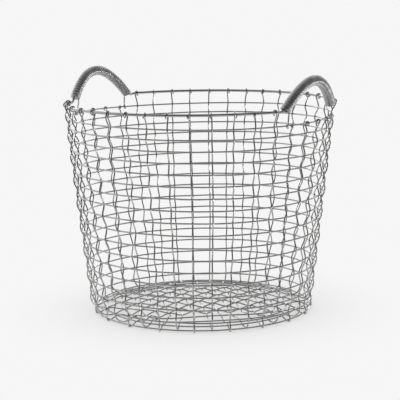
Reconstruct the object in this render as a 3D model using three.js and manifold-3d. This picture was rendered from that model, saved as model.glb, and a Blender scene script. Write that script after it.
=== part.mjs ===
// Round woven wire carrying basket with two handles wrapped in wire coils.
// Millimetres, +Z up. The origin is on the floor under the middle of the basket,
// and the two handles stand at +X and -X.
import * as THREE from 'three';
import { mergeVertices } from 'three/addons/utils/BufferGeometryUtils.js';
import Module from 'manifold-3d';

// Wire gauges
const WEAVE_WIRE = 2.5;
const RIM_WIRE = 4.2;
const GRIP_WIRE = 2.2;
const WEAVE_GAP = 0.45;

// Body: the wall is a straight cone between the foot ring and the rim
const RIM_RADIUS = 225;
const RIM_HEIGHT = 353;
const FOOT_RADIUS = 184;

// Weave: upright stakes round the wall, and level hoops that sit wider apart further down
const STAKE_COUNT = 40;
const HOOP_COUNT = 17;
const TOP_GAP = 20.4;
const LAST_HOOP_HEIGHT = 17.75;
const HOOP_GAP_GROWTH = 0.19;
const HOOK_TAIL = 6;

// Base: a square grid in the middle, and rings that turn from square to round
const GRID_PITCH = 20;
const GRID_RUN = 7;
const BASE_RISE = 10;
const INNER_RING_STEP = 23;
const OUTER_RING_STEP = 19;
const INNER_SQUARENESS = 5;
const MIDDLE_SQUARENESS = 2.7;
const FOOT_FLAT = 4;

// Handles: the rim wire itself rises in an arch over the stakes that stop below it
const HANDLE_STAKES = 5;
const HANDLE_RISE = 48.7;
const HANDLE_INSET = 5;
const HANDLE_BULGE = 11;
const GRIP_DIAMETER = 16;
const GRIP_END_STEPS = 1;
const TAIL_OFFSET = 6.5;
const TAIL_RUN = 2;
const TAIL_HOOK = 5;

// Facets
const RING_SEGMENTS = STAKE_COUNT;
const ARCH_SEGMENTS = 40;
const RIM_SIDES = 6;
const GRIP_SIDES = 8;
const HOOK_STEP = Math.PI / 3;

// A square or polygon section holds as much metal as the round wire it stands for.
const SQUARE_SIDE = Math.sqrt(Math.PI) / 2;
const weaveSide = WEAVE_WIRE * SQUARE_SIDE;
const tailSide = GRIP_WIRE * SQUARE_SIDE;
const rimTurn = (2 * Math.PI) / RIM_SIDES;
const rimSection = (RIM_WIRE / 2) * Math.sqrt(rimTurn / Math.sin(rimTurn));

const stakeStep = (2 * Math.PI) / STAKE_COUNT;
const groupSize = STAKE_COUNT / 4;
const gridHalf = ((groupSize - 1) / 2) * GRID_PITCH;
const footHeight = weaveSide * 1.5 + WEAVE_GAP;
const up = new THREE.Vector3(0, 0, 1);

const weaveSteel = { color: 0x9a9da0, roughness: 0.38, metalness: 1 };
const rimSteel = { color: 0x85888b, roughness: 0.36, metalness: 1 };
const gripSteel = { color: 0x8f9295, roughness: 0.34, metalness: 1 };

const basket = new THREE.Group();
const wasm = await Module();
wasm.setup();

function addPiece(name, geometry, finish) {
  const piece = new THREE.Mesh(geometry, new THREE.MeshStandardMaterial(finish));
  piece.name = name;
  basket.add(piece);
}

// Directions and points in plan
const around = (angle) => new THREE.Vector3(Math.cos(angle), Math.sin(angle), 0);
const onWall = (angle, radius, height) => around(angle).multiplyScalar(radius).setZ(height);

// Levels of the weave count down from the rim: hoops, the foot ring, then the three base rings.
const RIM_LEVEL = 0;
const FOOT_LEVEL = HOOP_COUNT + 1;
const OUTER_LEVEL = FOOT_LEVEL + 1;
const MIDDLE_LEVEL = OUTER_LEVEL + 1;
const INNER_LEVEL = MIDDLE_LEVEL + 1;
const GRID_LEVEL = INNER_LEVEL + 1;

// Neighbouring stakes pass opposite sides of a ring, and each stake changes side at every ring.
const isInside = (stake, level) => (stake + level) % 2 === 0;

const hoopSpan = RIM_HEIGHT - TOP_GAP - LAST_HOOP_HEIGHT;
const hoopGaps = HOOP_COUNT - 1;
const firstHoopGap = hoopSpan / hoopGaps - (HOOP_GAP_GROWTH * (hoopGaps - 1)) / 2;

function hoopHeight(level) {
  const below = level - 1;
  return RIM_HEIGHT - TOP_GAP - below * firstHoopGap - (HOOP_GAP_GROWTH * below * (below - 1)) / 2;
}

function wallRadius(height) {
  const share = (height - footHeight) / (RIM_HEIGHT - footHeight);
  return FOOT_RADIUS + (RIM_RADIUS - FOOT_RADIUS) * share;
}

// The base rises gently to its middle.
function onBase(point, offset) {
  const height = footHeight + BASE_RISE * (1 - (point.x ** 2 + point.y ** 2) / FOOT_RADIUS ** 2);
  return point.clone().setZ(height + offset);
}

// Two wires cross with WEAVE_GAP between them, however steeply the bent one leaves the crossing.
const weaveOffset = (spacing) => (weaveSide + WEAVE_GAP) / (1 - weaveSide / spacing);

// A bent wire as a chain of straight runs. Each point has a level sideways direction for its section.
class WirePath extends THREE.Curve {
  constructor(points, sideways) {
    super();
    this.points = points;
    this.sideways = sideways;
  }

  getPoint(t, target = new THREE.Vector3()) {
    const place = t * (this.points.length - 1);
    const index = Math.min(Math.floor(place), this.points.length - 2);
    return target.lerpVectors(this.points[index], this.points[index + 1], place - index);
  }

  getUtoTmapping(u) {
    return u;
  }

  computeFrenetFrames() {
    const tangents = pathTangents(this.points, false);
    const normals = tangents.map((tangent, i) => squareTo(this.sideways[i], tangent));
    const binormals = tangents.map((tangent, i) => new THREE.Vector3().crossVectors(tangent, normals[i]));
    return { tangents, normals, binormals };
  }
}

// The direction at each point halves the bend between the runs on its two sides.
function pathTangents(points, closed) {
  const last = points.length - 1;
  const run = (from, to) => new THREE.Vector3().subVectors(points[to], points[from]).normalize();
  return points.map((point, i) => {
    const before = i > 0 ? i - 1 : last;
    const after = i < last ? i + 1 : 0;
    if (!closed && i === 0) return run(0, 1);
    if (!closed && i === last) return run(last - 1, last);
    return run(before, i).add(run(i, after)).normalize();
  });
}

function squareTo(vector, tangent) {
  return vector.clone().addScaledVector(tangent, -vector.dot(tangent)).normalize();
}

function squareShape(side) {
  const half = side / 2;
  const shape = new THREE.Shape();
  shape.moveTo(-half, -half);
  shape.lineTo(half, -half);
  shape.lineTo(half, half);
  shape.lineTo(-half, half);
  shape.closePath();
  return shape;
}

function polygonPath(path, radius, sides) {
  for (let i = 0; i < sides; i += 1) {
    const angle = (2 * Math.PI * (i + 0.5)) / sides;
    const draw = i === 0 ? 'moveTo' : 'lineTo';
    path[draw](radius * Math.cos(angle), radius * Math.sin(angle));
  }
  path.closePath();
  return path;
}

function sweep(shape, points, sideways) {
  const path = new WirePath(points, sideways);
  const steps = points.length - 1;
  return new THREE.ExtrudeGeometry(shape, { steps, extrudePath: path, bevelEnabled: false });
}

// A closed loop of wire: a torus whose rings are moved on to the points of the loop.
function sweepLoop(points, sectionRadius, sides) {
  const geometry = new THREE.TorusGeometry(1, 1, sides, points.length);
  const position = geometry.attributes.position;
  const tangents = pathTangents(points, true);
  const spot = new THREE.Vector3();
  for (let j = 0; j <= sides; j += 1) {
    const angle = (2 * Math.PI * ((j % sides) + 0.5)) / sides;
    for (let i = 0; i <= points.length; i += 1) {
      const at = i % points.length;
      const outward = squareTo(points[at].clone().setZ(0).normalize(), tangents[at]);
      const upward = new THREE.Vector3().crossVectors(outward, tangents[at]);
      spot.copy(points[at]);
      spot.addScaledVector(outward, sectionRadius * Math.cos(angle));
      spot.addScaledVector(upward, sectionRadius * Math.sin(angle));
      position.setXYZ(j * (points.length + 1) + i, spot.x, spot.y, spot.z);
    }
  }
  return geometry;
}

// A level round hoop whose flats face the stakes.
function hoopGeometry(radius, height) {
  const half = weaveSide / 2;
  const stretch = 1 / Math.cos(Math.PI / RING_SEGMENTS);
  const corners = [[-half, -half], [half, -half], [half, half], [-half, half], [-half, -half]];
  const profile = corners.map(([out, rise]) => new THREE.Vector2((radius + out) * stretch, rise));
  const geometry = new THREE.LatheGeometry(profile, RING_SEGMENTS, Math.PI / RING_SEGMENTS);
  return geometry.rotateX(Math.PI / 2).translate(0, 0, height);
}

// Base rings: rounded squares in line with the grid, given by half their width and their squareness.
const gridTurn = ((groupSize - 1) / 2) * stakeStep;
const innerHalf = gridHalf + INNER_RING_STEP;
const outerHalf = FOOT_RADIUS - OUTER_RING_STEP;
const ROUND = 2;
const innerRing = { half: innerHalf, squareness: INNER_SQUARENESS, level: INNER_LEVEL };
const middleHalf = (innerHalf + outerHalf) / 2;
const middleRing = { half: middleHalf, squareness: MIDDLE_SQUARENESS, level: MIDDLE_LEVEL };
const outerRing = { half: outerHalf, squareness: ROUND, level: OUTER_LEVEL };
const baseRings = [innerRing, middleRing, outerRing];

function ringReach(ring, point) {
  const along = Math.abs(point.dot(around(gridTurn))) / ring.half;
  const across = Math.abs(point.dot(around(gridTurn + Math.PI / 2))) / ring.half;
  return (along ** ring.squareness + across ** ring.squareness) ** (1 / ring.squareness);
}

// Where the straight run between two points in plan meets a base ring.
function meetRing(ring, from, to) {
  const HALVINGS = 40;
  let near = 0;
  let far = 1;
  for (let i = 0; i < HALVINGS; i += 1) {
    const middle = (near + far) / 2;
    const isWithin = ringReach(ring, new THREE.Vector3().lerpVectors(from, to, middle)) < 1;
    near = isWithin ? middle : near;
    far = isWithin ? far : middle;
  }
  return new THREE.Vector3().lerpVectors(from, to, near);
}

// The stakes under a handle stop at the first hoop, and the others at the rim.
function isUnderHandle(stake) {
  const fromHandle = stake % (STAKE_COUNT / 2);
  const reach = (HANDLE_STAKES - 1) / 2;
  return Math.min(fromHandle, STAKE_COUNT / 2 - fromHandle) <= reach;
}

// The stake's end comes up one side of a ring, goes over it and ends on the other side.
function hookPoints(angle, radius, height, ringHalf, inside) {
  const bend = (ringHalf + weaveSide / 2 + WEAVE_GAP) / Math.cos(HOOK_STEP / 2);
  const side = inside ? -1 : 1;
  const points = [];
  for (let turn = 0; turn < Math.PI + HOOK_STEP / 2; turn += HOOK_STEP) {
    points.push(onWall(angle, radius + side * bend * Math.cos(turn), height + bend * Math.sin(turn)));
  }
  points.push(onWall(angle, radius - side * bend, height - HOOK_TAIL));
  return points;
}

// A foot goes round the outside of the foot ring and runs flat on the floor under it.
// Between two feet the stake bends in above the ring.
const bendRadius = FOOT_RADIUS - FOOT_FLAT / 2 - weaveSide;

function footPoints(stake, angle) {
  const WIDE_BEND = 1.2;
  const LOW_BEND = 0.85;
  const floorRun = weaveSide / 2;
  const clear = weaveSide + WEAVE_GAP;
  if (isInside(stake, FOOT_LEVEL)) {
    const corner = clear * WIDE_BEND * Math.SQRT1_2;
    return [onWall(angle, FOOT_RADIUS - corner, footHeight + corner)];
  }
  return [
    onWall(angle, bendRadius, floorRun),
    onWall(angle, FOOT_RADIUS - FOOT_FLAT / 2, floorRun),
    onWall(angle, FOOT_RADIUS + FOOT_FLAT / 4, floorRun),
    onWall(angle, FOOT_RADIUS + clear * LOW_BEND, floorRun),
    onWall(angle, FOOT_RADIUS + clear * WIDE_BEND, footHeight),
  ];
}

// How one stake runs in plan: out of the grid, then straight to its bend at the foot ring.
function baseRun(stake) {
  const quarter = Math.floor(stake / groupSize);
  const outward = around(gridTurn + (quarter * Math.PI) / 2);
  const leftward = around(gridTurn + ((quarter + 1) * Math.PI) / 2);
  const offset = ((stake % groupSize) - (groupSize - 1) / 2) * GRID_PITCH;
  const gridPoint = outward.clone().multiplyScalar(gridHalf).addScaledVector(leftward, offset);
  const exit = gridPoint.clone().addScaledVector(outward, GRID_RUN);
  const bend = onWall(stake * stakeStep, bendRadius, 0);
  const crossings = baseRings.map((ring) => meetRing(ring, exit, bend));
  return { outward, gridPoint, exit, bend, crossings };
}

const baseRuns = Array.from({ length: STAKE_COUNT }, (unused, stake) => baseRun(stake));

// The grid's bends clear its wires even at the corners, where the inner ring comes closest.
const innerReach = Math.min(...baseRuns.map((run) => run.gridPoint.distanceTo(run.crossings[0])));
const gridBend = weaveOffset(Math.min(GRID_PITCH, innerReach));

// A base ring lies level with the base at each stake that it crosses.
function baseRingGeometry(ring) {
  const place = baseRings.indexOf(ring);
  const points = baseRuns.map((run) => onBase(run.crossings[place], 0));
  return sweepLoop(points, weaveSide / Math.SQRT2, 4);
}

// The base run of one stake over and under the three rings.
function fanPoints(stake) {
  const { gridPoint, crossings, bend } = baseRuns[stake];
  const stops = [gridPoint, ...crossings, bend];
  return crossings.map((point, i) => {
    const spacing = Math.min(stops[i].distanceTo(point), point.distanceTo(stops[i + 2]));
    const side = isInside(stake, baseRings[i].level) ? 1 : -1;
    return onBase(point, side * weaveOffset(spacing));
  });
}

function wallPoints(stake, angle) {
  const topHoop = isUnderHandle(stake) ? 2 : 1;
  const points = [];
  for (let level = HOOP_COUNT; level >= topHoop; level -= 1) {
    const height = hoopHeight(level);
    const side = isInside(stake, level) ? -1 : 1;
    points.push(onWall(angle, wallRadius(height) + side * weaveOffset(firstHoopGap), height));
  }
  return points;
}

function topPoints(stake, angle) {
  if (isUnderHandle(stake)) {
    const height = hoopHeight(1);
    const ringHalf = weaveSide / 2 / Math.cos(HOOK_STEP / 2);
    return hookPoints(angle, wallRadius(height), height, ringHalf, isInside(stake, 1));
  }
  return hookPoints(angle, RIM_RADIUS, RIM_HEIGHT, rimSection, isInside(stake, RIM_LEVEL));
}

// One end of a stake wire, from the grid's edge to the cut end at the top.
// Each point carries the level direction in which the wire leaves the middle of the base there.
function stakeEnd(stake, gridOffset) {
  const angle = stake * stakeStep;
  const radial = around(angle);
  const { outward, gridPoint, exit, bend, crossings } = baseRuns[stake];
  const fan = fanPoints(stake);
  const fanHeading = new THREE.Vector3().subVectors(bend, exit).normalize();
  const share = GRID_RUN / gridPoint.distanceTo(crossings[0]);
  const ringOffset = fan[0].z - onBase(crossings[0], 0).z;
  const exitOffset = gridOffset === 0 ? 0 : THREE.MathUtils.lerp(gridOffset, ringOffset, share);
  const rise = [...footPoints(stake, angle), ...wallPoints(stake, angle), ...topPoints(stake, angle)];
  return [
    { point: onBase(exit, exitOffset), heading: outward.clone().add(fanHeading).normalize() },
    ...fan.map((point) => ({ point, heading: fanHeading })),
    ...rise.map((point) => ({ point, heading: radial })),
  ];
}

// One wire makes two stakes: it runs up one wall, across the base and up the far wall.
// The wires of the first group bend over and under the straight wires of the second in the grid.
function stakeWire(group, index) {
  const turn = gridTurn + (group * Math.PI) / 2;
  const along = around(turn);
  const across = around(turn + Math.PI / 2);
  const offset = (index - (groupSize - 1) / 2) * GRID_PITCH;
  const gridOffset = (crossing) => {
    const isOver = (index + groupSize - 1 - crossing + GRID_LEVEL) % 2 === 0;
    return group === 0 ? gridBend * (isOver ? 1 : -1) : 0;
  };
  const middle = [];
  for (let crossing = 0; crossing < groupSize; crossing += 1) {
    const place = (crossing - (groupSize - 1) / 2) * GRID_PITCH;
    const inPlan = across.clone().multiplyScalar(offset).addScaledVector(along, place);
    middle.push({ point: onBase(inPlan, gridOffset(crossing)), heading: along });
  }
  const nearStake = group * groupSize + index;
  const farStake = (group + 3) * groupSize - 1 - index;
  const near = stakeEnd(nearStake, gridOffset(groupSize - 1));
  const far = stakeEnd(farStake, gridOffset(0));
  far.forEach((stop) => {
    stop.heading = stop.heading.clone().negate();
  });
  const stops = [...far.reverse(), ...middle, ...near];
  const sideways = stops.map((stop) => new THREE.Vector3().crossVectors(up, stop.heading));
  return sweep(squareShape(weaveSide), stops.map((stop) => stop.point), sideways);
}

// The arch of a handle stands on the chord between its two feet, a little inside the rim circle.
const handleHalfAngle = (HANDLE_STAKES / 2) * stakeStep;

function archPoints(handleAngle) {
  const out = around(handleAngle);
  const along = around(handleAngle + Math.PI / 2);
  const points = [];
  for (let i = 0; i <= ARCH_SEGMENTS; i += 1) {
    const place = (2 * i) / ARCH_SEGMENTS - 1;
    const crown = 1 - place ** 2;
    const reach = RIM_RADIUS * Math.cos(handleHalfAngle) - HANDLE_INSET + HANDLE_BULGE * crown;
    const point = out.clone().multiplyScalar(reach);
    point.addScaledVector(along, RIM_RADIUS * Math.sin(handleHalfAngle) * place);
    points.push(point.setZ(RIM_HEIGHT + HANDLE_RISE * crown));
  }
  return points;
}

function rimPoints() {
  const perStake = 2;
  const arcSteps = (STAKE_COUNT / 2 - HANDLE_STAKES) * perStake;
  const points = [];
  for (const handleAngle of [0, Math.PI]) {
    points.push(...archPoints(handleAngle));
    for (let i = 1; i < arcSteps; i += 1) {
      const angle = handleAngle + handleHalfAngle + (i * stakeStep) / perStake;
      points.push(onWall(angle, RIM_RADIUS, RIM_HEIGHT));
    }
  }
  return points;
}

function toSolid(geometry) {
  const bare = geometry.clone();
  bare.deleteAttribute('normal');
  bare.deleteAttribute('uv');
  const merged = mergeVertices(bare);
  const vertProperties = new Float32Array(merged.attributes.position.array);
  const triVerts = new Uint32Array(merged.index.array);
  return new wasm.Manifold(new wasm.Mesh({ numProp: 3, vertProperties, triVerts }));
}

// Joins closed solids into one.
function join(geometries) {
  const solid = geometries.map(toSolid).reduce((whole, piece) => whole.add(piece));
  const mesh = solid.getMesh();
  const geometry = new THREE.BufferGeometry();
  geometry.setAttribute('position', new THREE.BufferAttribute(mesh.vertProperties, mesh.numProp));
  geometry.setIndex(new THREE.BufferAttribute(mesh.triVerts, 1));
  return geometry;
}

// The close-wound grip coil hangs on the arch, with the rim wire along the top of its bore.
// A tail at each end of the coil drops to the first hoop beside the last stake and hooks under it.
function gripGeometry(handleAngle) {
  const out = around(handleAngle);
  const bore = GRIP_DIAMETER / 2 - GRIP_WIRE;
  const drop = bore * Math.cos(Math.PI / GRIP_SIDES) - rimSection - WEAVE_GAP;
  const arch = archPoints(handleAngle);
  const tangents = pathTangents(arch, false);
  const centres = [];
  for (let i = GRIP_END_STEPS; i <= ARCH_SEGMENTS - GRIP_END_STEPS; i += 1) {
    const above = new THREE.Vector3().crossVectors(out, tangents[i]).normalize();
    centres.push(arch[i].clone().addScaledVector(above, -drop));
  }
  const inward = out.clone().negate();
  const section = polygonPath(new THREE.Shape(), GRIP_DIAMETER / 2, GRIP_SIDES);
  section.holes.push(polygonPath(new THREE.Path(), bore, GRIP_SIDES));
  const sleeve = sweep(section, centres, centres.map(() => inward));
  const last = centres.length - 1;
  const tails = [
    tailGeometry(handleAngle, 1, centres[last], tangents[ARCH_SEGMENTS - GRIP_END_STEPS]),
    tailGeometry(handleAngle, -1, centres[0], tangents[GRIP_END_STEPS].clone().negate()),
  ];
  return join([sleeve, ...tails]);
}

function tailGeometry(handleAngle, hand, coilEnd, leaving) {
  const height = hoopHeight(1);
  const radius = wallRadius(height);
  const lastStake = ((HANDLE_STAKES - 1) / 2) * stakeStep;
  const angle = handleAngle + hand * (lastStake + TAIL_OFFSET / radius);
  const clear = (weaveSide + tailSide) / 2 + WEAVE_GAP;
  const wallMiddle = (GRIP_DIAMETER - GRIP_WIRE) / 2;
  const start = coilEnd.clone().addScaledVector(around(handleAngle), wallMiddle);
  const points = [
    start.clone().addScaledVector(leaving, -TAIL_RUN),
    start.clone().addScaledVector(leaving, TAIL_RUN),
    onWall(angle, radius + clear, height + clear),
    onWall(angle, radius + clear, height - clear),
    onWall(angle, radius - clear, height - clear),
    onWall(angle, radius - clear, height - clear + TAIL_HOOK),
  ];
  const sideways = points.map(() => around(angle + Math.PI / 2));
  return sweep(squareShape(tailSide), points, sideways);
}

const twoDigits = (number) => String(number).padStart(2, '0');

for (let group = 0; group < 2; group += 1) {
  for (let index = 0; index < groupSize; index += 1) {
    const number = group * groupSize + index + 1;
    addPiece(`stake_wire_${twoDigits(number)}`, stakeWire(group, index), weaveSteel);
  }
}

for (let level = 1; level <= HOOP_COUNT; level += 1) {
  const height = hoopHeight(level);
  addPiece(`wall_hoop_${twoDigits(level)}`, hoopGeometry(wallRadius(height), height), weaveSteel);
}

addPiece('foot_ring', hoopGeometry(FOOT_RADIUS, footHeight), weaveSteel);
addPiece('base_ring_outer', baseRingGeometry(outerRing), weaveSteel);
addPiece('base_ring_middle', baseRingGeometry(middleRing), weaveSteel);
addPiece('base_ring_inner', baseRingGeometry(innerRing), weaveSteel);
addPiece('rim_wire', sweepLoop(rimPoints(), rimSection, RIM_SIDES), rimSteel);
addPiece('grip_coil_right', gripGeometry(0), gripSteel);
addPiece('grip_coil_left', gripGeometry(Math.PI), gripSteel);

export default basket;
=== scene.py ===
"""Dresses the wire carrying basket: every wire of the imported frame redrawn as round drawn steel.

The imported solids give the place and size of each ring. The stakes, the rim and the grip coils follow
the routes of their solids, in metres, with the smooth bends, eyes and windings of real wire.
"""

import logging
import math
import random
from dataclasses import dataclass, field
from enum import Enum

import bpy
import numpy as np
from mathutils import Matrix, Vector


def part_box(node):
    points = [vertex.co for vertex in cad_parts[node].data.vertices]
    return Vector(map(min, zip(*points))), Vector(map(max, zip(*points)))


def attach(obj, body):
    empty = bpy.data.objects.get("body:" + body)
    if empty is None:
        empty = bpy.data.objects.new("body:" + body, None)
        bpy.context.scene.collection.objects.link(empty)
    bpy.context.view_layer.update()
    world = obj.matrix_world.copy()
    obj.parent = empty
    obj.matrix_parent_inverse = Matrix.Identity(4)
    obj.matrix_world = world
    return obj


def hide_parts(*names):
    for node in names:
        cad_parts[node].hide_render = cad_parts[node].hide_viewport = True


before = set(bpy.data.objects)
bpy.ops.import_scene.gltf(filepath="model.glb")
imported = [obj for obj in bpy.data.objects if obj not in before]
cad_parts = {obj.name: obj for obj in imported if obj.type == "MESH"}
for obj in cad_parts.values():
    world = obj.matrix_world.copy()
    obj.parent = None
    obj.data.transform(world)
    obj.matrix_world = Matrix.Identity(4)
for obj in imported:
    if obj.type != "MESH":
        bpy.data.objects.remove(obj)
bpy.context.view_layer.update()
BODY = "root"
RUN_ATTRIBUTE = "wire_run"
LOG = logging.getLogger("basket")
WIRE_SIDES = 8
SMOOTH_ANGLE = math.radians(40)
EYE_SEED = 1000
MATH = "ShaderNodeMath"
VECTOR_MATH = "ShaderNodeVectorMath"

# Shares of a wire's gauge at a nipped end and at a weld bead.
NIP_REACH = 0.16
NIP_WIDTH = 0.72
BEAD_REACH = 0.6
BEAD_WIDTH = 1.16


class Slot(Enum):
    """Material slots of the record."""

    WEAVE = "weave_wire"
    RIM = "rim_wire"
    GRIP = "grip_coil"


class Ends(Enum):
    """How a drawn wire ends."""

    CUT = "nipped off at both ends"
    WELDED = "closed into a ring by a butt weld"


class Course(Enum):
    """The two sets of wires that make the square grid of the base."""

    CRIMPED = 0
    STRAIGHT = 1


class Handle(Enum):
    """The two handles, with the direction in which each one stands."""

    RIGHT = 0.0
    LEFT = math.pi


class Mixed(Enum):
    """What a mix node mixes: Blender's name for it, the places of its inputs and of its output."""

    COLOURS = ("RGBA", (0, 6, 7), 2)
    NUMBERS = ("FLOAT", (0, 2, 3), 0)


@dataclass(frozen=True)
class Gauges:
    """Diameters of the wires, and the air left between two wires that touch."""

    stake: float = 0.00235
    ring: float = 0.00265
    rim: float = 0.0045
    grip: float = 0.0025
    air: float = 0.00005

    def apart(self, first: float, second: float) -> float:
        """The distance between the middle lines of two wires that touch."""
        return (first + second) / 2 + self.air

    @property
    def crossing(self) -> float:
        """The distance between the middle lines of a stake and a ring that it bends round."""
        return self.apart(self.stake, self.ring)


@dataclass(frozen=True)
class Ring:
    """A level round ring of wire."""

    radius: float
    height: float

    @classmethod
    def of_node(cls, node: str) -> "Ring":
        """Reads a ring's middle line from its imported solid, which has a square section.

        Args:
            node: Name of the ring's CAD node.

        Returns:
            The ring at its true radius and height.
        """
        low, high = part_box(node)
        side = high.z - low.z
        return cls(radius=(high.x - low.x - side) / 2, height=(low.z + high.z) / 2)


@dataclass(frozen=True)
class BaseRing:
    """A rounded square of wire in the base, in line with the grid."""

    node: str
    half_width: float
    squareness: float
    level: int


def around(angle: float) -> Vector:
    """The level direction at an angle about the basket's axis."""
    return Vector((math.cos(angle), math.sin(angle), 0.0))


def on_wall(angle: float, radius: float, height: float) -> Vector:
    """The point at an angle, a distance from the axis and a height."""
    return Vector((radius * math.cos(angle), radius * math.sin(angle), height))


@dataclass(frozen=True)
class DrawnWire:
    """A bent wire with a round section, drawn as a smooth curve and turned into a mesh.

    A bent wire has no primitive to start from, so it begins as the curve of its middle line.

    Attributes:
        name: Name of the new piece.
        points: Points that the middle line passes through.
        gauge: Diameter of the wire.
        ends: Whether the wire has two cut ends or is a closed ring.
        fineness: Rings of vertices from one point to the next.
    """

    name: str
    points: list[Vector]
    gauge: float
    ends: Ends
    fineness: int

    def draw(self) -> bpy.types.Object:
        """Draws the wire.

        Returns:
            The new mesh object.
        """
        bpy.ops.object.select_all(action="DESELECT")
        bpy.ops.curve.primitive_bezier_curve_add(location=(0.0, 0.0, 0.0))
        wire = bpy.context.object
        wire.name = self.name
        curve = wire.data
        curve.splines.clear()
        spline = curve.splines.new("BEZIER")
        knots = self.knots()
        spline.bezier_points.add(len(knots) - 1)
        for knot, (point, width) in zip(spline.bezier_points, knots):
            knot.co = point
            knot.radius = width
        spline.use_cyclic_u = self.ends is Ends.WELDED
        bpy.ops.object.mode_set(mode="EDIT")
        bpy.ops.curve.select_all(action="SELECT")
        bpy.ops.curve.handle_type_set(type="AUTOMATIC")
        bpy.ops.object.mode_set(mode="OBJECT")
        curve.resolution_u = self.fineness
        curve.bevel_depth = self.gauge / 2
        curve.bevel_resolution = WIRE_SIDES // 2 - 2
        curve.use_fill_caps = self.ends is Ends.CUT
        bpy.ops.object.convert(target="MESH")
        bpy.ops.object.shade_smooth_by_angle(angle=SMOOTH_ANGLE)
        self.mark_run(wire.data)
        return wire

    def knots(self) -> list[tuple[Vector, float]]:
        """Gives each point its share of the full gauge: rounded cut ends, or a weld bead.

        Returns:
            The points with their shares, and with the extra points that the ends need.
        """
        points = self.points
        full = [(point, 1.0) for point in points]
        if self.ends is Ends.WELDED:
            after = (points[1] - points[0]).normalized() * self.gauge * BEAD_REACH
            before = (points[-1] - points[0]).normalized() * self.gauge * BEAD_REACH
            bead = [(points[0], BEAD_WIDTH), (points[0] + after, 1.0)]
            return bead + full[1:] + [(points[0] + before, 1.0)]
        first = points[0] + (points[1] - points[0]).normalized() * self.gauge * NIP_REACH
        last = points[-1] + (points[-2] - points[-1]).normalized() * self.gauge * NIP_REACH
        start = [(points[0], NIP_WIDTH), (first, 1.0)]
        return start + full[1:-1] + [(last, 1.0), (points[-1], NIP_WIDTH)]

    def mark_run(self, mesh: bpy.types.Mesh) -> None:
        """Stores on each vertex the turn about the wire and the distance along it, for the finishes.

        The first two numbers are the direction about the wire, so the pattern has no seam. On a closed
        ring the distance runs both ways from the weld.

        Args:
            mesh: Mesh of the wire, whose vertices come ring by ring.
        """
        places = np.zeros(len(mesh.vertices) * 3)
        mesh.vertices.foreach_get("co", places)
        centres = places.reshape(-1, WIRE_SIDES, 3).mean(axis=1)
        steps = np.linalg.norm(np.diff(centres, axis=0), axis=1)
        along = np.concatenate([[0.0], np.cumsum(steps)])
        if self.ends is Ends.WELDED:
            along = np.minimum(along, along[-1] - along)
        turn = np.arange(WIRE_SIDES) * 2 * math.pi / WIRE_SIDES
        run = np.zeros((len(centres), WIRE_SIDES, 3))
        run[:, :, 0] = np.cos(turn) * self.gauge / 2
        run[:, :, 1] = np.sin(turn) * self.gauge / 2
        run[:, :, 2] = along[:, None]
        attribute = mesh.attributes.new(RUN_ATTRIBUTE, "FLOAT_VECTOR", "POINT")
        attribute.data.foreach_set("vector", run.astype(np.float32).ravel())


def fit_piece(piece: bpy.types.Object, node: str, finish: bpy.types.Material) -> None:
    """Puts a finished piece in the place of its CAD node.

    Args:
        piece: The new piece.
        node: Name of the CAD node that it stands for.
        finish: Material of the piece.
    """
    piece.data.materials.clear()
    piece.data.materials.append(finish)
    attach(piece, BODY)
    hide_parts(node)
    LOG.info("%s stands for %s, %d faces", piece.name, node, len(piece.data.polygons))


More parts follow.
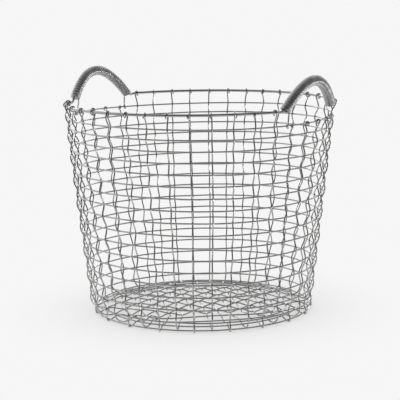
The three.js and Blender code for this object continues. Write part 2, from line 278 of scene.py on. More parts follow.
@dataclass(frozen=True)
class Weave:
    """The plan that all the wires share: where the rings lie and which side of them a stake passes."""

    gauges: Gauges
    rim: Ring = Ring(radius=0.225, height=0.353)
    stake_count: int = 40
    hoop_count: int = 17
    handle_stakes: int = 5
    grid_pitch: float = 0.020
    grid_exit: float = 0.007
    base_rise: float = 0.010
    inner_ring_step: float = 0.023
    outer_ring_step: float = 0.019
    inner_squareness: float = 5.0
    middle_squareness: float = 2.7
    outer_squareness: float = 2.0
    sway: float = 0.0009
    least_waves: float = 0.7
    most_waves: float = 1.6
    gather: float = math.radians(0.6)
    gather_turn: float = math.radians(-53)
    saddle: float = 0.0016
    saddle_turn: float = math.radians(142)
    first_drop: float = 0.0014
    belly: float = 0.0015
    belly_levels: int = 10
    swell: float = 0.0042
    swell_levels: float = 3.0
    swell_turn: float = math.radians(211)

    @property
    def step(self) -> float:
        """The angle from one stake to the next."""
        return 2 * math.pi / self.stake_count

    @property
    def group(self) -> int:
        """The stakes on one side of the square grid."""
        return self.stake_count // 4

    @property
    def grid_turn(self) -> float:
        """The angle of the grid's crimped wires."""
        return (self.group - 1) / 2 * self.step

    @property
    def grid_half(self) -> float:
        """Half the width of the grid."""
        return (self.group - 1) / 2 * self.grid_pitch

    def grid_place(self, index: int) -> float:
        """How far a wire or a crossing of the grid lies from the grid's middle."""
        return (index - (self.group - 1) / 2) * self.grid_pitch

    @property
    def foot_level(self) -> int:
        """The foot ring's level, counted down from the rim."""
        return self.hoop_count + 1

    @property
    def foot(self) -> Ring:
        """The foot ring."""
        return Ring.of_node("foot_ring")

    def hoop(self, level: int) -> Ring:
        """The wall hoop at a level, from 1 under the rim."""
        return Ring.of_node(f"wall_hoop_{level:02d}")

    def hoop_at(self, level: int, angle: float) -> Ring:
        """The wall hoop as hand weaving left it at an angle: a slight saddle, lowest near the handles.

        The first hoop hangs a little, and the next ones are pushed up toward it. Below the rim the wall
        swells out a little on one side.

        Args:
            level: Level of the hoop, from 1 under the rim.
            angle: Angle about the basket's axis.

        Returns:
            A ring that passes through the hoop's place at that angle.
        """
        hoop = self.hoop(level)
        above_end = max(0, self.belly_levels + 1 - level)
        push = self.belly * math.sin(math.pi * above_end / self.belly_levels)
        lift = -self.first_drop if level == 1 else push
        lift -= self.saddle * math.cos(2 * (angle - self.saddle_turn))
        side = (1 + math.cos(angle - self.swell_turn)) / 2
        swell = self.swell * side ** 2 * (1 - math.exp(-level / self.swell_levels))
        return Ring(hoop.radius + swell, hoop.height + lift)

    def base_rings(self) -> list[BaseRing]:
        """The three rings of the base, from the grid outwards."""
        inner = self.grid_half + self.inner_ring_step
        outer = self.foot.radius - self.outer_ring_step
        return [
            BaseRing("base_ring_inner", inner, self.inner_squareness, self.foot_level + 3),
            BaseRing("base_ring_middle", (inner + outer) / 2, self.middle_squareness, self.foot_level + 2),
            BaseRing("base_ring_outer", outer, self.outer_squareness, self.foot_level + 1),
        ]

    def is_inside(self, stake: int, level: int) -> bool:
        """Whether a stake passes inside a wall ring, or over a base ring."""
        return (stake + level) % 2 == 0

    def is_under_handle(self, stake: int) -> bool:
        """Whether a stake ends at the first hoop, under a handle."""
        half = self.stake_count // 2
        from_handle = stake % half
        return min(from_handle, half - from_handle) <= (self.handle_stakes - 1) / 2

    def stake_angle(self, stake: int, height: float) -> float:
        """The angle of a stake at a height, with the small sway of hand weaving.

        Toward the rim the stakes also gather a little at the front and the back.

        Args:
            stake: Number of the stake.
            height: Height on the wall.

        Returns:
            The angle about the basket's axis.
        """
        chance = random.Random(stake)
        phase = chance.uniform(0.0, 2 * math.pi)
        waves = chance.uniform(self.least_waves, self.most_waves)
        share = height / self.rim.height
        angle = stake * self.step
        sway = self.sway / self.rim.radius * math.sin(phase + waves * 2 * math.pi * share)
        return angle + sway + self.gather * share ** 2 * math.sin(2 * (self.gather_turn - angle))

    def on_base(self, point: Vector, offset: float) -> Vector:
        """Lifts a point in plan on to the domed base, and by an offset above it.

        Args:
            point: Point in plan.
            offset: Height above the base's middle surface.

        Returns:
            The point in space.
        """
        share = (point.x ** 2 + point.y ** 2) / self.foot.radius ** 2
        return Vector((point.x, point.y, self.foot.height + self.base_rise * (1 - share) + offset))


@dataclass(frozen=True)
class BaseRun:
    """How one stake runs in plan: where it leaves the grid, and where it crosses the base rings."""

    exit: Vector
    crossings: list[Vector]


@dataclass
class BasePlan:
    """The runs of all the stakes across the base."""

    weave: Weave
    bend_inset: float = 0.0042
    halvings: int = 40
    runs: list[BaseRun] = field(default_factory=list)

    def __post_init__(self) -> None:
        """Lays out the run of every stake."""
        self.runs = [self.lay_run(stake) for stake in range(self.weave.stake_count)]

    def lay_run(self, stake: int) -> BaseRun:
        """Lays out one stake's run.

        Args:
            stake: Number of the stake.

        Returns:
            The run in plan.
        """
        weave = self.weave
        turn = weave.grid_turn + stake // weave.group * math.pi / 2
        offset = weave.grid_place(stake % weave.group)
        leaving = around(turn) * (weave.grid_half + weave.grid_exit) + around(turn + math.pi / 2) * offset
        bend = on_wall(stake * weave.step, weave.foot.radius - self.bend_inset, 0.0)
        crossings = [self.meet(ring, leaving, bend) for ring in weave.base_rings()]
        return BaseRun(leaving, crossings)

    def meet(self, ring: BaseRing, start: Vector, end: Vector) -> Vector:
        """Finds where a straight run in plan meets a base ring, by halving.

        Args:
            ring: The base ring.
            start: Point inside the ring.
            end: Point outside the ring.

        Returns:
            The meeting point.
        """
        near, far = 0.0, 1.0
        for _ in range(self.halvings):
            middle = (near + far) / 2
            point = start.lerp(end, middle)
            along = abs(point.dot(around(self.weave.grid_turn))) / ring.half_width
            across = abs(point.dot(around(self.weave.grid_turn + math.pi / 2))) / ring.half_width
            if along ** ring.squareness + across ** ring.squareness < 1:
                near = middle
            else:
                far = middle
        return start.lerp(end, near)


@dataclass
class WallRings:
    """The level hoops of the wall and the foot ring."""

    weave: Weave
    finish: bpy.types.Material
    wave: float = 0.0002
    slack: float = 0.0003
    fineness: int = 4

    def build(self) -> None:
        """Draws every hoop and the foot ring."""
        weave = self.weave
        for level in range(1, weave.hoop_count + 1):
            self.build_ring(f"wall_hoop_{level:02d}", level)
        self.build_ring("foot_ring", weave.foot_level)

    def build_ring(self, node: str, level: int) -> None:
        """Draws one ring, pulled a little to and fro by the stakes that bend round it.

        The foot ring stays level, and the first hoop is held by the eyes and tails that hang on it.

        Args:
            node: Name of the ring's CAD node.
            level: The ring's level in the weave.
        """
        weave = self.weave
        chance = random.Random(node)
        weld = chance.randrange(weave.stake_count)
        is_foot = level == weave.foot_level
        is_taut = is_foot or level == 1
        points = []
        for place in range(weave.stake_count):
            stake = (weld + place) % weave.stake_count
            angle = stake * weave.step
            pull = self.wave if weave.is_inside(stake, level) else -self.wave
            ring = weave.foot if is_foot else weave.hoop_at(level, angle)
            lift = 0.0 if is_taut else chance.uniform(-self.slack, self.slack)
            points.append(on_wall(angle, ring.radius + pull, ring.height + lift))
        points.insert(0, (points[0] + points[-1]) / 2 * (1 / math.cos(weave.step / 2)))
        points[0].z = (points[1].z + points[-1].z) / 2
        wire = DrawnWire(f"{node}_wire", points, weave.gauges.ring, Ends.WELDED, self.fineness)
        fit_piece(wire.draw(), node, self.finish)


@dataclass
class BaseRings:
    """The rings between the square grid and the foot ring."""

    plan: BasePlan
    finish: bpy.types.Material
    fineness: int = 4

    def build(self) -> None:
        """Draws the three rings through the points where the stakes cross them."""
        weave = self.plan.weave
        for place, ring in enumerate(weave.base_rings()):
            points = [weave.on_base(run.crossings[place], 0.0) for run in self.plan.runs]
            points.insert(0, (points[0] + points[-1]) / 2)
            name = f"{ring.node}_wire"
            wire = DrawnWire(name, points, weave.gauges.ring, Ends.WELDED, self.fineness)
            fit_piece(wire.draw(), ring.node, self.finish)


@dataclass
class StakeWires:
    """The wires that run up one wall, across the base and up the far wall, and hook at both ends."""

    plan: BasePlan
    finish: bpy.types.Material
    fineness: int = 6
    foot_lift: float = 0.0007
    over_foot: float = 1.2
    outside_foot: float = 1.05
    above_foot: float = 0.2
    eye_slack: float = 0.0005
    eye_pitch: float = 0.0031
    least_turn: float = math.radians(285)
    most_turn: float = math.radians(345)
    eye_step: float = math.radians(40)
    lean_chance: float = 0.85

    def build(self) -> None:
        """Draws all the stake wires."""
        weave = self.plan.weave
        for course in Course:
            for index in range(weave.group):
                number = course.value * weave.group + index + 1
                node = f"stake_wire_{number:02d}"
                points = self.wire_points(course, index)
                name = f"{node}_wire"
                wire = DrawnWire(name, points, weave.gauges.stake, Ends.CUT, self.fineness)
                fit_piece(wire.draw(), node, self.finish)

    def wire_points(self, course: Course, index: int) -> list[Vector]:
        """Lays out one wire from cut end to cut end.

        Args:
            course: The set of grid wires that it belongs to.
            index: Its place in that set.

        Returns:
            The points of its middle line.
        """
        weave = self.plan.weave
        turn = weave.grid_turn + course.value * math.pi / 2
        offset = weave.grid_place(index)
        bends = [self.grid_bend(course, index, crossing) for crossing in range(weave.group)]
        middle = []
        for crossing, bend in enumerate(bends):
            place = weave.grid_place(crossing)
            point = around(turn) * place + around(turn + math.pi / 2) * offset
            middle.append(weave.on_base(point, bend))
        near = self.end_points(course.value * weave.group + index, bends[-1])
        far = self.end_points((course.value + 3) * weave.group - 1 - index, bends[0])
        return far[::-1] + middle + near

    def grid_bend(self, course: Course, index: int, crossing: int) -> float:
        """How far a grid wire lies above the base's middle surface at a crossing.

        Args:
            course: The set of grid wires that it belongs to.
            index: Its place in that set.
            crossing: The crossing, counted along the wire.

        Returns:
            The height, which is less than nothing where the wire passes under.
        """
        weave = self.plan.weave
        if course is Course.STRAIGHT:
            return 0.0
        is_over = (index + weave.group - 1 - crossing + weave.foot_level) % 2 == 0
        apart = weave.gauges.apart(weave.gauges.stake, weave.gauges.stake)
        return apart if is_over else -apart

    def end_points(self, stake: int, grid_bend: float) -> list[Vector]:
        """Lays out one end of a wire, from the grid's edge to the cut end at the top.

        Args:
            stake: Number of the stake that the end makes.
            grid_bend: Height of the wire at the last crossing in the grid.

        Returns:
            The points of the middle line.
        """
        weave = self.plan.weave
        run = self.plan.runs[stake]
        apart = weave.gauges.crossing
        fan = []
        for ring, crossing in zip(weave.base_rings(), run.crossings):
            fan.append(weave.on_base(crossing, apart if weave.is_inside(stake, ring.level) else -apart))
        first = run.crossings[0] - run.exit
        share = weave.grid_exit / (weave.grid_exit + first.length)
        ring_bend = fan[0].z - weave.on_base(run.crossings[0], 0.0).z
        exit_bend = grid_bend + (ring_bend - grid_bend) * share if grid_bend else 0.0
        points = [weave.on_base(run.exit, exit_bend)]
        return points + fan + self.foot_points(stake) + self.wall_points(stake) + self.eye_points(stake)

    def foot_points(self, stake: int) -> list[Vector]:
        """Bends a stake round the foot ring: under it as a foot, or above it between two feet.

        Args:
            stake: Number of the stake.

        Returns:
            The points of the bend.
        """
        weave = self.plan.weave
        foot = weave.foot
        floor = weave.gauges.stake / 2
        angle = weave.stake_angle(stake, foot.height)
        apart = weave.gauges.crossing
        slant = apart * math.sqrt(0.5)
        if weave.is_inside(stake, weave.foot_level):
            clear = slant * self.over_foot
            return [on_wall(angle, foot.radius - clear, foot.height + clear)]
        return [
            on_wall(angle, foot.radius - self.plan.bend_inset, floor + self.foot_lift),
            on_wall(angle, foot.radius, foot.height - apart),
            on_wall(angle, foot.radius + slant * self.outside_foot, foot.height - slant),
            on_wall(angle, foot.radius + apart, foot.height + apart * self.above_foot),
        ]

    def wall_points(self, stake: int) -> list[Vector]:
        """Takes a stake up the wall, inside one hoop and outside the next.

        Args:
            stake: Number of the stake.

        Returns:
            The points where it passes the hoops.
        """
        weave = self.plan.weave
        apart = weave.gauges.crossing
        top = 2 if weave.is_under_handle(stake) else 1
        points = []
        for level in range(weave.hoop_count, top - 1, -1):
            hoop = weave.hoop_at(level, stake * weave.step)
            side = -apart if weave.is_inside(stake, level) else apart
            points.append(on_wall(weave.stake_angle(stake, hoop.height), hoop.radius + side, hoop.height))
        return points

    def eye_points(self, stake: int) -> list[Vector]:
        """Winds the end of a stake round the rim, or round the first hoop under a handle.

        The eye is a little loose, so it hangs on its ring, and it leans away from its own stake.

        Args:
            stake: Number of the stake.

        Returns:
            The points of the eye, up to the cut end.
        """
        weave = self.plan.weave
        is_low = weave.is_under_handle(stake)
        level = 1 if is_low else 0
        ring = weave.hoop_at(1, stake * weave.step) if is_low else weave.rim
        gauge = weave.gauges.ring if is_low else weave.gauges.rim
        reach = weave.gauges.apart(gauge, weave.gauges.stake) + self.eye_slack
        side = -1 if weave.is_inside(stake, level) else 1
        chance = random.Random(EYE_SEED + stake)
        whole = chance.uniform(self.least_turn, self.most_turn)
        from_handle = (stake + weave.group) % (2 * weave.group) - weave.group
        lean = -1 if from_handle > 0 or chance.random() < self.lean_chance else 1
        lean = 1 if is_low and from_handle < 0 else lean
        angle = weave.stake_angle(stake, ring.height)
        steps = round(whole / self.eye_step)
        points = []
        for i in range(steps + 1):
            turn = whole * i / steps
            shift = lean * self.eye_pitch * turn / (2 * math.pi) / ring.radius
            out = ring.radius + side * reach * math.cos(turn)
            height = ring.height - self.eye_slack + reach * math.sin(turn)
            points.append(on_wall(angle + shift, out, height))
        return points


@dataclass(frozen=True)
class Arch:
    """The line of the rim wire over one handle, on the chord between its feet just inside the rim.

    The handles are bent by hand, so the left one stands a few millimetres higher.
    """

    weave: Weave
    handle: Handle
    right_rise: float = 0.0462
    left_rise: float = 0.0513
    inset: float = 0.005
    bulge: float = 0.011
    probe: float = 0.001

    @property
    def rise(self) -> float:
        """The height of this arch above the rim."""
        return self.right_rise if self.handle is Handle.RIGHT else self.left_rise

    @property
    def half_angle(self) -> float:
        """Half the angle that the arch spans."""
        return self.weave.handle_stakes / 2 * self.weave.step

    def at(self, place: float) -> Vector:
        """The arch's point at a place from -1 at one foot to 1 at the other."""
        crown = 1 - place ** 2
        radius = self.weave.rim.radius
        reach = radius * math.cos(self.half_angle) - self.inset + self.bulge * crown
        point = around(self.handle.value) * reach
        point += around(self.handle.value + math.pi / 2) * radius * math.sin(self.half_angle) * place
        point.z = self.weave.rim.height + self.rise * crown
        return point

    def along(self, place: float) -> Vector:
        """The arch's direction at a place."""
        return (self.at(place + self.probe) - self.at(place - self.probe)).normalized()


@dataclass
class RimWire:
    """The thick rim wire: one closed loop that rises into the two handle arches."""

    weave: Weave
    finish: bpy.types.Material
    fineness: int = 5
    arch_steps: int = 20
    steps_per_stake: int = 2

    def build(self) -> None:
        """Draws the rim wire, with its weld at the back between the handles."""
        weave = self.weave
        right = Arch(weave, Handle.RIGHT)
        left = Arch(weave, Handle.LEFT)
        span = math.pi - 2 * right.half_angle
        steps = (weave.stake_count // 2 - weave.handle_stakes) * self.steps_per_stake
        sides = []
        for handle in Handle:
            start = handle.value + right.half_angle
            arc = [start + span * i / steps for i in range(1, steps)]
            sides.append([on_wall(angle, weave.rim.radius, weave.rim.height) for angle in arc])
        arches = []
        for arch in (right, left):
            arches.append([arch.at(2 * i / self.arch_steps - 1) for i in range(self.arch_steps + 1)])
        back, front = sides
        middle = len(back) // 2
        points = back[middle:] + arches[1] + front + arches[0] + back[:middle]
        wire = DrawnWire("rim_wire_loop", points, weave.gauges.rim, Ends.WELDED, self.fineness)
        fit_piece(wire.draw(), "rim_wire", self.finish)


@dataclass
class GripCoils:
    """The close-wound coils that hang on the arches, with a tail at each end hooked on the first hoop.

    The turns at each end have sprung a little apart, most of all at the front end of the left coil.
    """

    weave: Weave
    finish: bpy.types.Material
    fineness: int = 3
    samples: int = 800
    right_diameter: float = 0.0176
    left_diameter: float = 0.0168
    right_ends: tuple[float, float] = (-0.965, 1.0)
    left_ends: tuple[float, float] = (-0.975, 0.915)
    pitch: float = 0.00268
    sprung_pitch: float = 0.0048
    sprung_turns: float = 0.8
    most_sprung_turns: float = 2.2
    knots_per_turn: int = 8
    outer_tail_offset: float = 0.013
    inner_tail_offset: float = -0.010
    tail_return: float = 0.004
    tail_slack: float = 0.0008
    tail_hang: float = 0.0004
    tail_drop: float = 0.005
    tail_rise: float = 0.006
    tail_turn: float = math.radians(280)
    tail_steps: int = 7

    def build(self) -> None:
        """Draws both coils."""
        for handle in Handle:
            node = f"grip_coil_{handle.name.lower()}"
            points = self.coil_points(handle)
            wire = DrawnWire(f"{node}_wire", points, self.weave.gauges.grip, Ends.CUT, self.fineness)
            fit_piece(wire.draw(), node, self.finish)

    def coil_points(self, handle: Handle) -> list[Vector]:
        """Winds the coil along its arch, from the hook of one tail to the hook of the other.

        Args:
            handle: The handle that the coil is on.

        Returns:
            The points of the wire's middle line.
        """
        arch = Arch(self.weave, handle)
        out = around(handle.value)
        gauges = self.weave.gauges
        diameter = self.right_diameter if handle is Handle.RIGHT else self.left_diameter
        wind = (diameter - gauges.grip) / 2
        drop = diameter / 2 - gauges.grip - gauges.rim / 2 - gauges.air
        places, turns = self.spread_turns(arch)
        points = []
        for place, turn in zip(places, turns):
            along = arch.along(place)
            above = out.cross(along).normalized()
            beside = along.cross(above)
            middle = arch.at(place) - above * drop
            angle = math.pi / 2 - turn * 2 * math.pi
            points.append(middle + (above * math.cos(angle) + beside * math.sin(angle)) * wind)
        return self.tail(handle, -1, points[0])[::-1] + points + self.tail(handle, 1, points[-1])

    def spread_turns(self, arch: Arch) -> tuple[list[float], list[float]]:
        """Spreads the turns along the arch: close in the middle and sprung apart at the two ends.

        Args:
            arch: The arch that the coil is wound on.

        Returns:
            The place on the arch and the number of turns so far, for each point of the coil.
        """
        ends = self.right_ends if arch.handle is Handle.RIGHT else self.left_ends
        grid = np.linspace(*ends, self.samples)
        line = np.array([arch.at(float(place)) for place in grid])
        run = np.concatenate([[0.0], np.cumsum(np.linalg.norm(np.diff(line, axis=0), axis=1))])
        last_turns = self.most_sprung_turns if arch.handle is Handle.LEFT else self.sprung_turns
        start_share = 1 - run / (self.sprung_turns * self.sprung_pitch)
        end_share = 1 - (run[-1] - run) / (last_turns * self.sprung_pitch)
        share = np.clip(np.maximum(start_share, end_share), 0.0, 1.0)
        pitch = self.pitch + (self.sprung_pitch - self.pitch) * share
        turns = np.concatenate([[0.0], np.cumsum(np.diff(run) / pitch[1:])])
        half_turn = 0.5
        whole = math.floor(turns[-1]) + half_turn
        turns *= whole / turns[-1]
        knots = np.linspace(0.0, whole, round(whole * self.knots_per_turn) + 1)
        places = np.interp(knots, turns, grid)
        return places.tolist(), knots.tolist()

    def tail(self, handle: Handle, hand: int, coil_end: Vector) -> list[Vector]:
        """Takes the wire from the coil's end down to the first hoop and winds it round the hoop.

        The wire leaves the coil's start on its outer side and the coil's end on its inner side.

        Args:
            handle: The handle that the coil is on.
            hand: 1 for the tail at the arch's end, and -1 for the one at its start.
            coil_end: The last point of the coil at that end.

        Returns:
            The points from the coil's end to the cut end.
        """
        weave = self.weave
        offset = self.inner_tail_offset if hand > 0 else self.outer_tail_offset
        last_stake = (weave.handle_stakes - 1) / 2 * weave.step
        angle = handle.value + hand * (last_stake + offset / weave.rim.radius)
        hoop = weave.hoop_at(1, angle)
        reach = weave.gauges.apart(weave.gauges.ring, weave.gauges.grip) + self.tail_slack
        points = [
            coil_end + Vector((0.0, 0.0, -self.tail_drop)),
            on_wall(angle, hoop.radius - hand * reach, hoop.height + self.tail_rise),
        ]
        for i in range(self.tail_steps + 1):
            turn = self.tail_turn * i / self.tail_steps
            shift = -hand * self.tail_return * i / self.tail_steps / hoop.radius
            out = hoop.radius - hand * reach * math.cos(turn)
            height = hoop.height - self.tail_hang - reach * math.sin(turn)
            points.append(on_wall(angle + shift, out, height))
        return points


class NodeBoard:
    """A node tree with short ways to add, set and link its nodes."""

    def __init__(self, tree: bpy.types.NodeTree) -> None:
        """Takes the tree to work on."""
        self.tree = tree

    def add(self, kind: str, settings: dict | None = None, **inputs: object) -> bpy.types.Node:
        """Adds a node, sets its properties and fills or links its inputs.

        Args:
            kind: Blender's name of the node type.
            settings: Properties of the node.
            **inputs: Values or output sockets for the inputs, named with _ for a space.

        Returns:
            The new node.
        """
        node = self.tree.nodes.new(kind)
        for name, value in (settings or {}).items():
            setattr(node, name, value)
        for name, value in inputs.items():
            self.feed(node, name.replace("_", " "), value)
        return node

    def feed(self, node: bpy.types.Node, name: str | int, value: object) -> None:
        """Links an output socket to a node's input, or sets the input's value."""
        if isinstance(value, bpy.types.NodeSocket):
            self.tree.links.new(value, node.inputs[name])
        else:
            node.inputs[name].default_value = value

    def reckon(self, kind: str, operation: str, *values: object) -> bpy.types.NodeSocket:
        """Adds a calculation.

        Args:
            kind: Blender's name of the node type, for numbers or for vectors.
            operation: Blender's name of the calculation.
            *values: Values or output sockets to calculate with.

        Returns:
            The socket of the result, which is one number.
        """
        node = self.add(kind, {"operation": operation})
        for place, value in enumerate(values):
            self.feed(node, place, value)
        return node.outputs["Value"]

    def spread(self, value: object, kind: str = "LINEAR", **limits: float) -> bpy.types.NodeSocket:
        """Adds a change from one range of values to another.

        Args:
            value: Socket of the value to change.
            kind: Blender's name of the way from one limit to the other.
            **limits: Limits of the two ranges, where they aren't 0 and 1.

        Returns:
            The socket of the result.
        """
        node = self.add("ShaderNodeMapRange", {"interpolation_type": kind}, Value=value, **limits)
        return node.outputs["Result"]

    def mix(self, kind: Mixed, share: object, first: object, second: object,
            way: str = "MIX") -> bpy.types.NodeSocket:
        """Adds a mix of two colours or two numbers.

        Args:
            kind: What is mixed.
            share: Share of the second one.
            first: The first colour or number.
            second: The second one.
            way: Blender's name of the way to mix them.

        Returns:
            The socket of the result.
        """
        data_type, places, result = kind.value
        node = self.add("ShaderNodeMix", {"data_type": data_type, "blend_type": way})
        for place, value in zip(places, (share, first, second)):
            self.feed(node, place, value)
        return node.outputs[result]


def clear_board(owner: bpy.types.Material | bpy.types.World) -> NodeBoard:
    """Empties the node tree of a material or a world, and gives a board on it."""
    owner.use_nodes = True
    owner.node_tree.nodes.clear()
    return NodeBoard(owner.node_tree)


def new_group(name: str, inputs: dict[str, str], outputs: dict[str, str]) -> bpy.types.NodeTree:
    """Starts a shader node group with named sockets.

    Args:
        name: Name of the group.
        inputs: Socket types by input name.
        outputs: Socket types by output name.

    Returns:
        The group's empty tree.
    """
    group = bpy.data.node_groups.new(name, "ShaderNodeTree")
    for title, kind in inputs.items():
        group.interface.new_socket(title, in_out="INPUT", socket_type=kind)
    for title, kind in outputs.items():
        group.interface.new_socket(title, in_out="OUTPUT", socket_type=kind)
    return group


def drawn_grain_group() -> bpy.types.NodeTree:
    """Makes the grain of drawn wire: long fine lines along it, and the marks of the drawing die.

    Returns:
        The group, with the lines as a value and as a height.
    """
    group = new_group(
        "drawn grain",
        {"Run": "NodeSocketVector", "Lines": "NodeSocketFloat"},
        {"Grain": "NodeSocketFloat", "Height": "NodeSocketFloat"},
    )
    board = NodeBoard(group)
    source = board.add("NodeGroupInput")
    lines = drawn_noise(board, source, stretch=0.035, detail=3.0, roughness=0.6)
    marks = drawn_noise(board, source, stretch=0.3, detail=2.0, roughness=0.5)
    both = board.reckon(MATH, "MULTIPLY", lines, marks)
    target = board.add("NodeGroupOutput")
    board.feed(target, "Grain", board.spread(both, From_Min=0.12, From_Max=0.42))
    board.feed(target, "Height", lines)
    return group


def drawn_noise(board: NodeBoard, source: bpy.types.Node, stretch: float, detail: float,
                roughness: float) -> bpy.types.NodeSocket:
    """Adds noise that is drawn out along the wire.

    Args:
        board: Board of the grain's node tree.
        source: Input node of that tree.
        stretch: Scale of the noise along the wire, where 1 is its scale across.
        detail: Detail of the noise.
        roughness: Roughness of the noise.

    Returns:
        The socket of the noise.
    """
    run = board.add("ShaderNodeMapping", Vector=source.outputs["Run"], Scale=(1.0, 1.0, stretch))
    noise = board.add("ShaderNodeTexNoise", Vector=run.outputs["Vector"], Scale=source.outputs["Lines"],
                      Detail=detail, Roughness=roughness)
    return noise.outputs["Fac"]


def dull_patch_group() -> bpy.types.NodeTree:
    """Makes the soft patches where steel has dulled from handling and damp.

    Returns:
        The group, with the patches as a mask.
    """
    group = new_group(
        "dull patches",
        {"Place": "NodeSocketVector", "Size": "NodeSocketFloat"},
        {"Patch": "NodeSocketFloat"},
    )
    board = NodeBoard(group)
    source = board.add("NodeGroupInput")
    cloud = board.add("ShaderNodeTexNoise", Vector=source.outputs["Place"], Scale=source.outputs["Size"],
                      Detail=4.0, Roughness=0.55)
    mask = board.spread(cloud.outputs["Fac"], "SMOOTHSTEP", From_Min=0.36, From_Max=0.66)
    target = board.add("NodeGroupOutput")
    board.feed(target, "Patch", mask)
    return group


@dataclass(frozen=True)
class SteelFinish:
    """Drawn steel wire: a clean and a dulled colour, its roughness, and the scale of its marks."""

    name: str
    clean: tuple[float, float, float]
    dull: tuple[float, float, float]
    smooth: float
    rough: float
    lines: float
    patches: float
    relief: float = 0.25
    relief_depth: float = 0.0002
    streak: float = 0.45
    streak_colour: tuple[float, float, float] = (0.5, 0.49, 0.47)

    def make(self, grain: bpy.types.NodeTree, patch: bpy.types.NodeTree) -> bpy.types.Material:
        """Makes the material.

        Args:
            grain: The node group of the drawn lines.
            patch: The node group of the dull patches.

        Returns:
            The material.
        """
        material = bpy.data.materials.new(self.name)
        board = clear_board(material)
        run = board.add("ShaderNodeAttribute", {"attribute_name": RUN_ATTRIBUTE})
        place = board.add("ShaderNodeTexCoord")
        lines = board.add("ShaderNodeGroup", {"node_tree": grain}, Run=run.outputs["Vector"],
                          Lines=self.lines)
        dulled = board.add("ShaderNodeGroup", {"node_tree": patch}, Place=place.outputs["Object"],
                           Size=self.patches)
        colour = board.mix(Mixed.COLOURS, dulled.outputs["Patch"], (*self.clean, 1.0), (*self.dull, 1.0))
        shade = board.spread(lines.outputs["Grain"], To_Min=self.streak, To_Max=0.0)
        streaked = board.mix(Mixed.COLOURS, shade, colour, (*self.streak_colour, 1.0), "MULTIPLY")
        gloss = board.spread(lines.outputs["Grain"], To_Min=self.rough, To_Max=self.smooth)
        bump = board.add("ShaderNodeBump", Height=lines.outputs["Height"], Strength=self.relief,
                         Distance=self.relief_depth)
        steel = board.add("ShaderNodeBsdfPrincipled", Base_Color=streaked, Metallic=1.0, Roughness=gloss,
                          Normal=bump.outputs["Normal"])
        board.add("ShaderNodeOutputMaterial", Surface=steel.outputs["BSDF"])
        return material


WEAVE_STEEL = SteelFinish(
    "drawn weaving wire", clean=(0.56, 0.563, 0.567), dull=(0.47, 0.47, 0.467),
    smooth=0.14, rough=0.28, lines=2600.0, patches=45.0,
)
RIM_STEEL = SteelFinish(
    "thick rim wire", clean=(0.5, 0.503, 0.507), dull=(0.43, 0.43, 0.427),
    smooth=0.16, rough=0.3, lines=1800.0, patches=30.0,
)
GRIP_STEEL = SteelFinish(
    "spring wire of the grips", clean=(0.7, 0.703, 0.707), dull=(0.64, 0.64, 0.637),
    smooth=0.25, rough=0.31, lines=2800.0, patches=60.0, relief=0.05,
)


@dataclass(frozen=True)
class LightPanel:
    """A level panel of light in the mirrored room, placed by its angle from the camera's right.

    Its height is the sine of its elevation. It fades toward its two ends, and from its core to its
    upper and lower edges.
    """

    aside: float
    height: float
    half_width: float
    light: float
    dark_end: float = 0.6
    full_end: float = 0.8
    core: float = 0.6


@dataclass(frozen=True)
class Lamp:
    """A soft lamp.

    Attributes:
        name: Name of the lamp.
        strength: Light on a surface that faces the lamp.
        height: Angle of the lamp above the horizon.
        aside: Angle of the lamp about the basket, to the right of the camera.
        width: Angle that the lamp fills, seen from the basket.
    """

    name: str
    strength: float
    height: float
    aside: float
    width: float


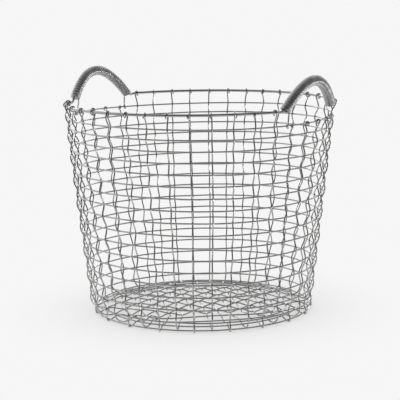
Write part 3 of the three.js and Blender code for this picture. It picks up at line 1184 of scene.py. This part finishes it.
@dataclass(frozen=True)
class Studio:
    """The plain pale studio: floor, soft light, and the camera as it stood for the photograph."""

    floor_radius: float = 0.6
    floor_sides: int = 96
    floor_fade: float = 0.17
    floor_clear: float = 0.4
    pale: float = 0.922
    floor_glow: float = 0.4
    room: tuple[tuple[float, float], ...] = (
        (0.2, 0.88), (0.33, 0.55), (0.5, 0.38), (0.7, 0.2), (0.86, 0.05), (0.96, 0.02),
    )
    dark_height: float = math.radians(10)
    dark_aside: float = math.radians(12)
    right_panel: LightPanel = LightPanel(aside=0.0, height=-0.31, half_width=0.04, light=9.0)
    back_panel: LightPanel = LightPanel(aside=math.pi / 2, height=0.27, half_width=0.2, light=1.5)
    sky_light: float = 0.95
    top_light: Lamp = Lamp("top_light", 0.15, math.radians(70), math.pi, math.radians(50))
    left_light: Lamp = Lamp("left_light", 0.15, math.radians(30), math.radians(-95), math.radians(40))
    camera_turn: float = math.radians(31.306)
    camera_pan: float = math.radians(0.059)
    camera_distance: float = 2.3455
    camera_height: float = 0.5716
    camera_tilt: float = math.radians(9.353)
    camera_roll: float = math.radians(-0.791)
    lens: float = 125.4
    sensor_width: float = 36.0
    clip_end: float = 50.0

    def build(self) -> None:
        """Sets up the whole studio."""
        bpy.context.scene.view_settings.view_transform = "Standard"
        self.lay_floor()
        self.paint_world()
        self.hang_light(self.top_light)
        self.hang_light(self.left_light)
        self.place_camera()

    def lay_floor(self) -> None:
        """Lays a round pale floor under the basket, which fades into the backdrop at its edge."""
        bpy.ops.object.select_all(action="DESELECT")
        bpy.ops.mesh.primitive_circle_add(
            vertices=self.floor_sides, radius=self.floor_radius, fill_type="NGON")
        floor = bpy.context.object
        floor.name = "studio_floor"
        material = bpy.data.materials.new("pale floor")
        board = clear_board(material)
        colour = (self.pale, self.pale, self.pale, 1.0)
        matt = board.add("ShaderNodeBsdfDiffuse", Color=colour)
        glow = board.add("ShaderNodeEmission", Color=colour)
        place = board.add("ShaderNodeTexCoord")
        reach = board.reckon(VECTOR_MATH, "LENGTH", place.outputs["Object"])
        fade = board.spread(reach, "SMOOTHSTEP", From_Min=self.floor_fade, From_Max=self.floor_clear,
                            To_Min=self.floor_glow)
        share = board.reckon(MATH, "MULTIPLY", self.is_seen(board), fade)
        surface = board.add("ShaderNodeMixShader", Fac=share)
        board.feed(surface, 1, matt.outputs["BSDF"])
        board.feed(surface, 2, glow.outputs["Emission"])
        board.add("ShaderNodeOutputMaterial", Surface=surface.outputs["Shader"])
        floor.data.materials.append(material)

    def is_seen(self, board: NodeBoard) -> bpy.types.NodeSocket:
        """Adds the test for what the camera sees, directly or in metal or glass.

        Args:
            board: Board of the node tree that needs the test.

        Returns:
            The socket that gives 1 where the ray is seen, and 0 where it only lights.
        """
        path = board.add("ShaderNodeLightPath")
        direct = board.reckon(MATH, "ADD", path.outputs["Is Camera Ray"], path.outputs["Is Glossy Ray"])
        seen = board.reckon(MATH, "ADD", direct, path.outputs["Is Transmission Ray"])
        seen.node.use_clamp = True
        return seen

    def paint_world(self) -> None:
        """Paints a pale backdrop, lights the scene evenly, and gives metal a studio room to mirror.

        The room is pale behind the basket and darkest beside the camera, with a bright panel on two sides.
        """
        world = bpy.data.worlds.new("studio")
        bpy.context.scene.world = world
        board = clear_board(world)
        direction = board.add("ShaderNodeTexCoord").outputs["Generated"]
        toward_dark = around(self.camera_turn - math.pi / 2 + self.dark_aside) * math.cos(self.dark_height)
        toward_dark.z = math.sin(self.dark_height)
        facing = board.reckon(VECTOR_MATH, "DOT_PRODUCT", direction, toward_dark)
        room = board.add("ShaderNodeValToRGB", Fac=board.spread(facing, From_Min=-1.0))
        for place, level in self.room:
            room.color_ramp.elements.new(place).color = (level, level, level, 1.0)
        room.color_ramp.elements[0].color = room.color_ramp.elements[1].color
        room.color_ramp.elements[-1].color = room.color_ramp.elements[-2].color
        right = self.mirrored_panel(board, direction, self.right_panel)
        back = self.mirrored_panel(board, direction, self.back_panel)
        panels = board.reckon(MATH, "ADD", right, back)
        mirrored = board.reckon(MATH, "ADD", room.outputs["Color"], panels)
        path = board.add("ShaderNodeLightPath")
        shown = board.mix(Mixed.NUMBERS, path.outputs["Is Camera Ray"], mirrored, self.pale)
        level = board.mix(Mixed.NUMBERS, self.is_seen(board), self.sky_light, shown)
        sky = board.add("ShaderNodeBackground", Color=(1.0, 1.0, 1.0, 1.0), Strength=level)
        board.add("ShaderNodeOutputWorld", Surface=sky.outputs["Background"])

    def mirrored_panel(self, board: NodeBoard, direction: bpy.types.NodeSocket,
                       panel: LightPanel) -> bpy.types.NodeSocket:
        """Adds one long level panel of light, which only metal and glass show.

        Args:
            board: Board of the world's node tree.
            direction: Socket of the direction that is looked in.
            panel: The panel to add.

        Returns:
            The socket that gives the panel's light in that direction.
        """
        toward = around(self.camera_turn + panel.aside)
        aside = board.reckon(VECTOR_MATH, "DOT_PRODUCT", direction, toward)
        ahead = board.spread(aside, From_Min=panel.dark_end, From_Max=panel.full_end)
        split = board.add("ShaderNodeSeparateXYZ", Vector=direction)
        off_line = board.reckon(MATH, "SUBTRACT", split.outputs["Z"], panel.height)
        away = board.reckon(MATH, "ABSOLUTE", off_line)
        core = panel.half_width * panel.core
        band = board.spread(away, From_Min=panel.half_width, From_Max=core, To_Max=panel.light)
        return board.reckon(MATH, "MULTIPLY", ahead, band)

    def hang_light(self, lamp: Lamp) -> None:
        """Hangs one soft lamp."""
        turn = (math.pi / 2 - lamp.height, 0.0, self.camera_turn + lamp.aside)
        bpy.ops.object.light_add(type="SUN", rotation=turn)
        light = bpy.context.object
        light.name = lamp.name
        light.data.energy = lamp.strength
        light.data.angle = lamp.width

    def place_camera(self) -> None:
        """Places the camera where the photograph was taken from."""
        place = (
            self.camera_distance * math.sin(self.camera_turn),
            -self.camera_distance * math.cos(self.camera_turn),
            self.camera_height,
        )
        turn = Matrix.Rotation(self.camera_turn + self.camera_pan, 3, "Z")
        turn @= Matrix.Rotation(math.pi / 2 - self.camera_tilt, 3, "X")
        turn @= Matrix.Rotation(self.camera_roll, 3, "Z")
        bpy.ops.object.camera_add(location=place, rotation=turn.to_euler())
        camera = bpy.context.object
        camera.data.sensor_width = self.sensor_width
        camera.data.lens = self.lens
        camera.data.clip_end = self.clip_end
        bpy.context.scene.camera = camera


def main() -> None:
    """Builds the studio and every sub-assembly of the basket, in order."""
    logging.basicConfig(level=logging.INFO, format="%(message)s")
    Studio().build()
    grain = drawn_grain_group()
    patch = dull_patch_group()
    weave_steel = WEAVE_STEEL.make(grain, patch)
    rim_steel = RIM_STEEL.make(grain, patch)
    grip_steel = GRIP_STEEL.make(grain, patch)
    weave = Weave(Gauges())
    plan = BasePlan(weave)
    WallRings(weave, weave_steel).build()
    BaseRings(plan, weave_steel).build()
    StakeWires(plan, weave_steel).build()
    RimWire(weave, rim_steel).build()
    GripCoils(weave, grip_steel).build()


if __name__ == "__main__":
    main()
